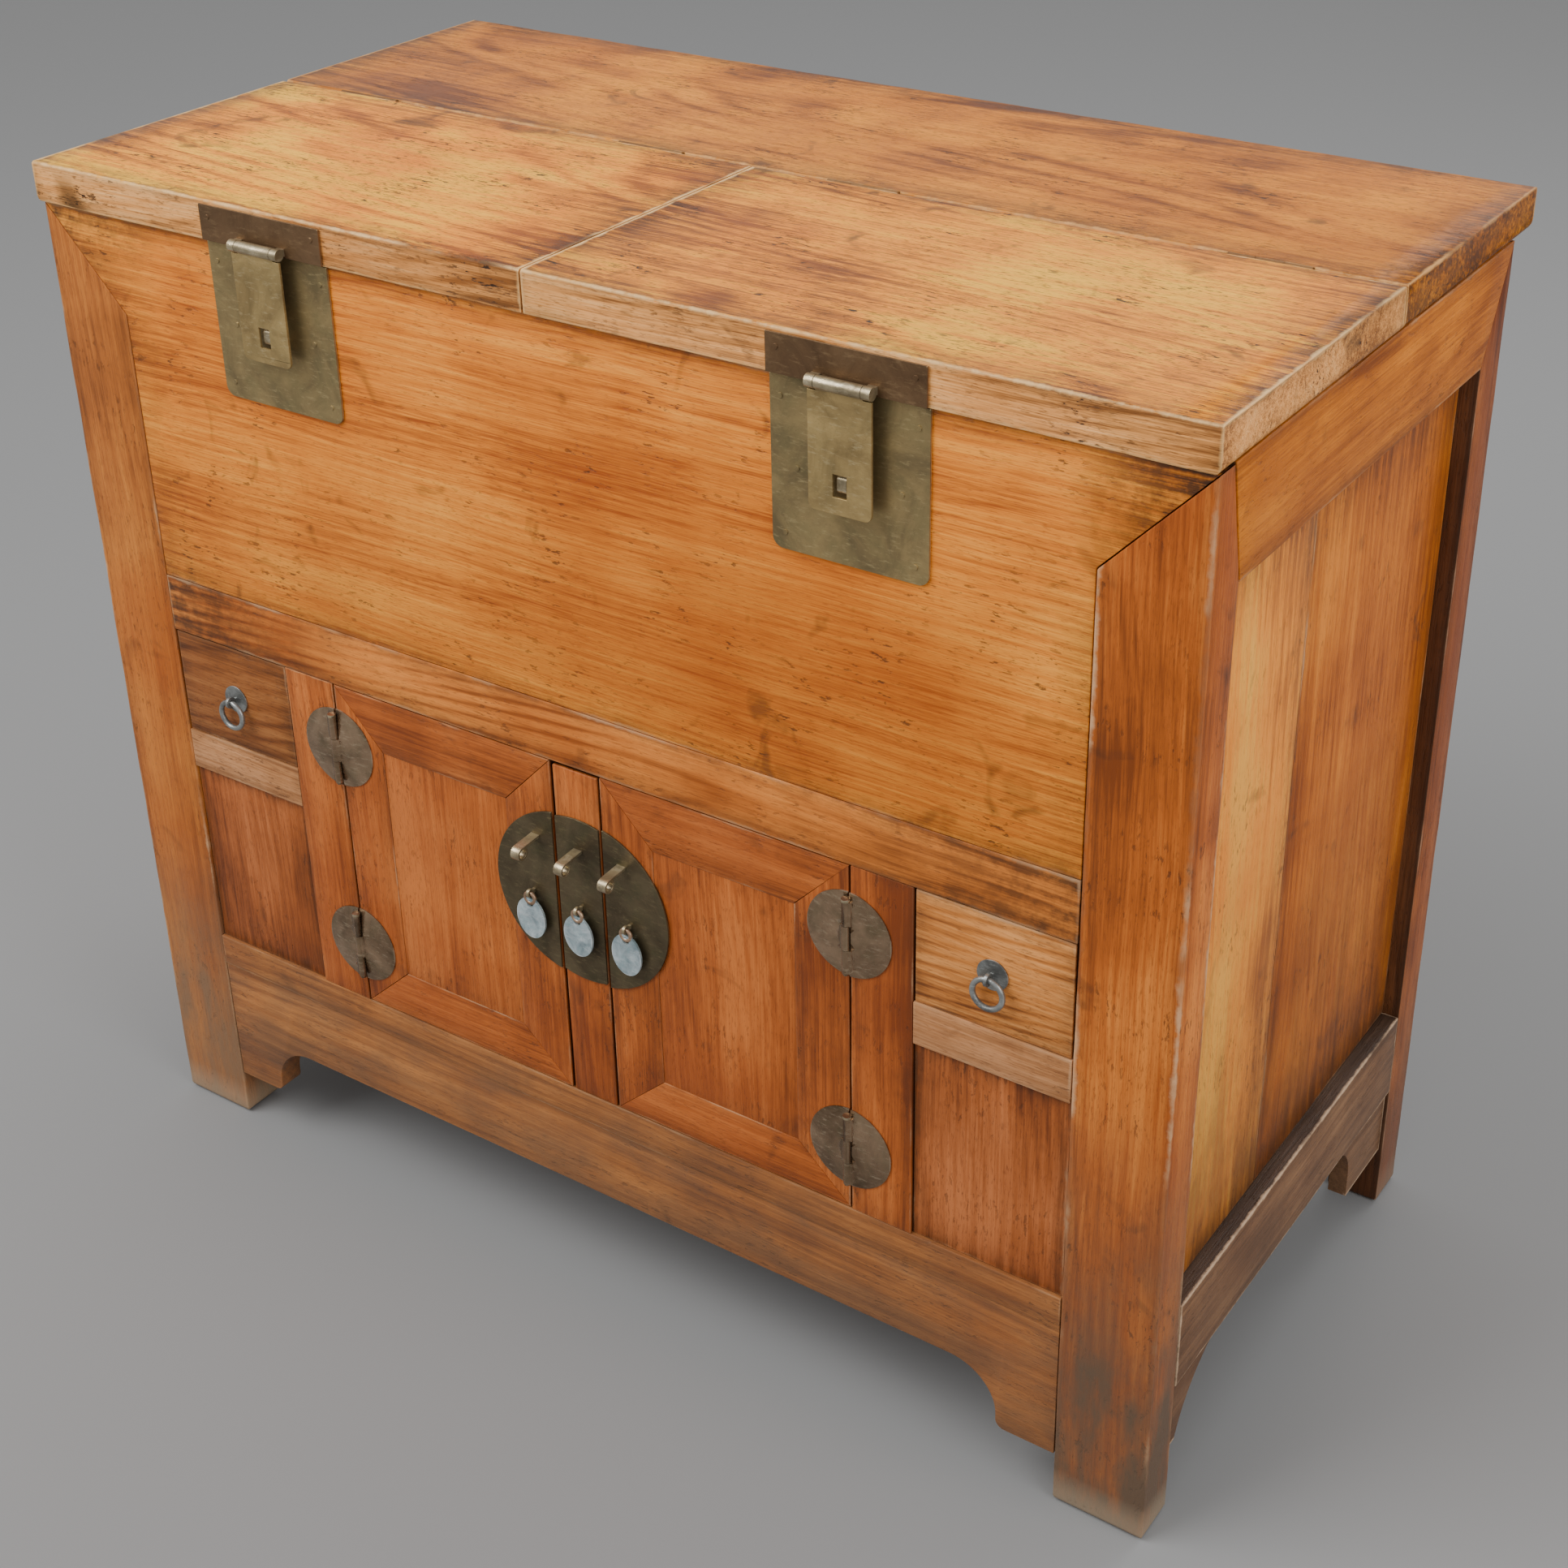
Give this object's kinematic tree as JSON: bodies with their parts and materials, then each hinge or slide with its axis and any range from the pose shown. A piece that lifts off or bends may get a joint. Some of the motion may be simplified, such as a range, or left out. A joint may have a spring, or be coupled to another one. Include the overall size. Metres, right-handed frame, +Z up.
{
  "type": "money chest",
  "caption": "Wooden chest on square feet: hinged lids with hasps over a coin compartment, a cupboard with doors behind a round split lock plate, and small drawers with ring pulls.",
  "frame": {"origin": "on the floor, under the middle of the bounding box", "axes": "+Z up, -Y towards the front with its doors, drawers and hasps, +X to the right seen from the front"},
  "size_m": [0.986, 0.5381, 0.88],
  "materials": {
    "posts": "worn oil",
    "doors": "worn oil",
    "rails": "worn oil",
    "top": "worn, dry",
    "drawer_fronts": "worn oil",
    "inside": "bare",
    "plates": "dark patina",
    "hinges": "dark patina, worn bright on the domes",
    "hasps": "patina, rubbed",
    "pendants": "pale white brass, dull",
    "pulls": "dull grey",
    "lid_hinges": "forged, dark"
  },
  "bodies": {
    "carcass": {"front_post_left": "posts", "front_post_right": "posts", "rear_post_left": "posts", "rear_post_right": "posts", "front_panel": "rails", "middle_rail": "rails", "bottom_rail": "rails", "front_apron": "rails", "inner_stile_left": "doors", "inner_stile_right": "doors", "drawer_rails": "rails", "lower_panels": "doors", "side_top_rail_left": "rails", "side_top_rail_right": "rails", "side_bottom_rail_left": "rails", "side_bottom_rail_right": "rails", "side_brackets": "rails", "side_panel_left": "rails", "side_panel_right": "rails", "rear_rails": "inside", "back_panel": "inside", "seam_rail": "inside", "coin_floor": "inside", "cupboard_floor": "inside", "drawer_housings": "inside", "rear_top_board": "top", "lid_hinges_fixed": "lid_hinges", "lock_plate_left": "plates", "lock_plate_right": "plates", "door_hinges_fixed": "hinges"},
    "lid_left": {"lid_left_board": "top", "lid_left_plate": "plates", "lid_left_hinges": "lid_hinges"},
    "lid_right": {"lid_right_board": "top", "lid_right_plate": "plates", "lid_right_hinges": "lid_hinges"},
    "hasp_left": {"hasp_left": "hasps"},
    "hasp_right": {"hasp_right": "hasps"},
    "door_left": {"door_left_frame": "doors", "door_left_panel": "doors", "door_left_plate": "plates", "door_left_hinges": "hinges"},
    "door_right": {"door_right_frame": "doors", "door_right_panel": "doors", "door_right_plate": "plates", "door_right_hinges": "hinges"},
    "centre_stile": {"centre_stile": "doors", "centre_plate": "plates"},
    "drawer_left": {"drawer_left_front": "drawer_fronts", "drawer_left_box": "inside", "drawer_left_pull": "pulls"},
    "drawer_right": {"drawer_right_front": "drawer_fronts", "drawer_right_box": "inside", "drawer_right_pull": "pulls"},
    "ring_left": {"ring_left": "pulls"},
    "ring_right": {"ring_right": "pulls"},
    "pendant_left": {"pendant_left": "pendants"},
    "pendant_centre": {"pendant_centre": "pendants"},
    "pendant_right": {"pendant_right": "pendants"}
  },
  "joints": [
    {"name": "lid_left_hinge", "type": "hinge", "parent": "carcass", "child": "lid_left", "pos_m": [-0.25375, 0.02505, 0.878], "axis": [-1, 0, 0], "range_deg": [0, 99]},
    {"name": "lid_right_hinge", "type": "hinge", "parent": "carcass", "child": "lid_right", "pos_m": [0.23975, 0.02505, 0.878], "axis": [-1, 0, 0], "range_deg": [0, 99]},
    {"name": "hasp_left_hinge", "type": "hinge", "parent": "lid_left", "child": "hasp_left", "pos_m": [-0.25375, -0.25395, 0.853], "axis": [-1, 0, 0], "range_deg": [-6, 165]},
    {"name": "hasp_right_hinge", "type": "hinge", "parent": "lid_right", "child": "hasp_right", "pos_m": [0.24275, -0.25395, 0.853], "axis": [-1, 0, 0], "range_deg": [-6, 165]},
    {"name": "door_left_hinge", "type": "hinge", "parent": "carcass", "child": "door_left", "pos_m": [-0.24025, -0.24745, 0.349], "axis": [0, 0, 1], "range_deg": [-160, 0]},
    {"name": "door_right_hinge", "type": "hinge", "parent": "carcass", "child": "door_right", "pos_m": [0.24025, -0.24745, 0.349], "axis": [0, 0, -1], "range_deg": [-160, 0]},
    {"name": "centre_stile_lift", "type": "slide", "parent": "carcass", "child": "centre_stile", "axis": [0, 0, 1], "range_m": [0, 0.003]},
    {"name": "drawer_left_slide", "type": "slide", "parent": "carcass", "child": "drawer_left", "axis": [0, -1, 0], "range_m": [0, 0.24]},
    {"name": "drawer_right_slide", "type": "slide", "parent": "carcass", "child": "drawer_right", "axis": [0, -1, 0], "range_m": [0, 0.24]},
    {"name": "ring_left_hinge", "type": "hinge", "parent": "drawer_left", "child": "ring_left", "pos_m": [-0.354, -0.24915, 0.452], "axis": [-1, 0, 0], "range_deg": [0, 100]},
    {"name": "ring_right_hinge", "type": "hinge", "parent": "drawer_right", "child": "ring_right", "pos_m": [0.354, -0.24915, 0.452], "axis": [-1, 0, 0], "range_deg": [0, 100]},
    {"name": "pendant_left_hinge", "type": "hinge", "parent": "door_left", "child": "pendant_left", "pos_m": [-0.046, -0.24955, 0.378], "axis": [-1, 0, 0], "range_deg": [0, 150]},
    {"name": "pendant_centre_hinge", "type": "hinge", "parent": "centre_stile", "child": "pendant_centre", "pos_m": [0, -0.24955, 0.378], "axis": [-1, 0, 0], "range_deg": [0, 150]},
    {"name": "pendant_right_hinge", "type": "hinge", "parent": "door_right", "child": "pendant_right", "pos_m": [0.046, -0.24955, 0.378], "axis": [-1, 0, 0], "range_deg": [0, 150]}
  ]
}
